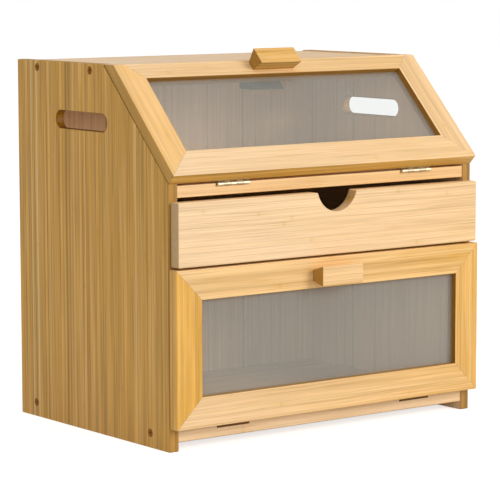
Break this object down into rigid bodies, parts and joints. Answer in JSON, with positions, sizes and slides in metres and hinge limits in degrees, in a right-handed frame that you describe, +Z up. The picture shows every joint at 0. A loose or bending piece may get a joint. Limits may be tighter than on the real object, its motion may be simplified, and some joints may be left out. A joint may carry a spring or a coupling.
{
  "type": "bread box with drawer",
  "caption": "Bamboo bread box with a sloping windowed lid, a drawer with a finger notch and a drop-down windowed door.",
  "frame": {"origin": "centre of the bounding box's base, on the table under the box", "axes": "+X to the right seen from the front, +Y to the back, +Z up"},
  "size_m": [0.36, 0.28, 0.3581],
  "materials": {
    "bamboo": "satin lacquered bamboo",
    "clear_acrylic": "clear plastic sheet",
    "hinge_steel": "bright plated steel",
    "plate_steel": "plain steel sheet",
    "screw_steel": "dark plated steel",
    "brown_plastic": "moulded plastic",
    "magnet": "ferrite magnet"
  },
  "bodies": {
    "carcass": {"back_panel": "bamboo", "bottom_board": "bamboo", "catch_screws": "screw_steel", "door_catch_housing": "brown_plastic", "door_catch_magnet": "magnet", "door_catch_pole_plates": "plate_steel", "door_left_hinge_fixed_leaf": "hinge_steel", "door_left_hinge_pin": "hinge_steel", "door_right_hinge_fixed_leaf": "hinge_steel", "door_right_hinge_pin": "hinge_steel", "drawer_shelf": "bamboo", "fixed_hinge_screws": "screw_steel", "left_side_panel": "bamboo", "lid_catch_housing": "brown_plastic", "lid_catch_magnet": "magnet", "lid_catch_pole_plates": "plate_steel", "lid_left_hinge_fixed_leaf": "hinge_steel", "lid_left_hinge_pin": "hinge_steel", "lid_right_hinge_fixed_leaf": "hinge_steel", "lid_right_hinge_pin": "hinge_steel", "right_side_panel": "bamboo", "side_screws": "screw_steel", "top_board": "bamboo", "upper_shelf": "bamboo"},
    "lid": {"lid_bottom_rail": "bamboo", "lid_hinge_screws": "screw_steel", "lid_left_hinge_moving_leaf": "hinge_steel", "lid_left_stile": "bamboo", "lid_pull": "bamboo", "lid_pull_screws": "screw_steel", "lid_right_hinge_moving_leaf": "hinge_steel", "lid_right_stile": "bamboo", "lid_strike_plate": "plate_steel", "lid_strike_screws": "screw_steel", "lid_top_rail": "bamboo", "lid_window": "clear_acrylic"},
    "door": {"door_bottom_rail": "bamboo", "door_hinge_screws": "screw_steel", "door_left_hinge_moving_leaf": "hinge_steel", "door_left_stile": "bamboo", "door_pull": "bamboo", "door_pull_screws": "screw_steel", "door_right_hinge_moving_leaf": "hinge_steel", "door_right_stile": "bamboo", "door_strike_plate": "plate_steel", "door_strike_screws": "screw_steel", "door_top_rail": "bamboo", "door_window": "clear_acrylic"},
    "drawer": {"drawer_back": "bamboo", "drawer_bottom": "bamboo", "drawer_front": "bamboo", "drawer_left_side": "bamboo", "drawer_right_side": "bamboo", "drawer_screws": "screw_steel"}
  },
  "joints": [
    {"name": "lid_hinge", "type": "hinge", "parent": "carcass", "child": "lid", "pos_m": [0, -0.11348, 0.2404], "axis": [1, 0, 0], "range_deg": [0, 133]},
    {"name": "door_hinge", "type": "hinge", "parent": "carcass", "child": "door", "pos_m": [0, -0.1115, 0.0185], "axis": [1, 0, 0], "range_deg": [0, 84.5]},
    {"name": "drawer_slide", "type": "slide", "parent": "carcass", "child": "drawer", "axis": [0, -1, 0], "range_m": [0, 0.175]}
  ]
}
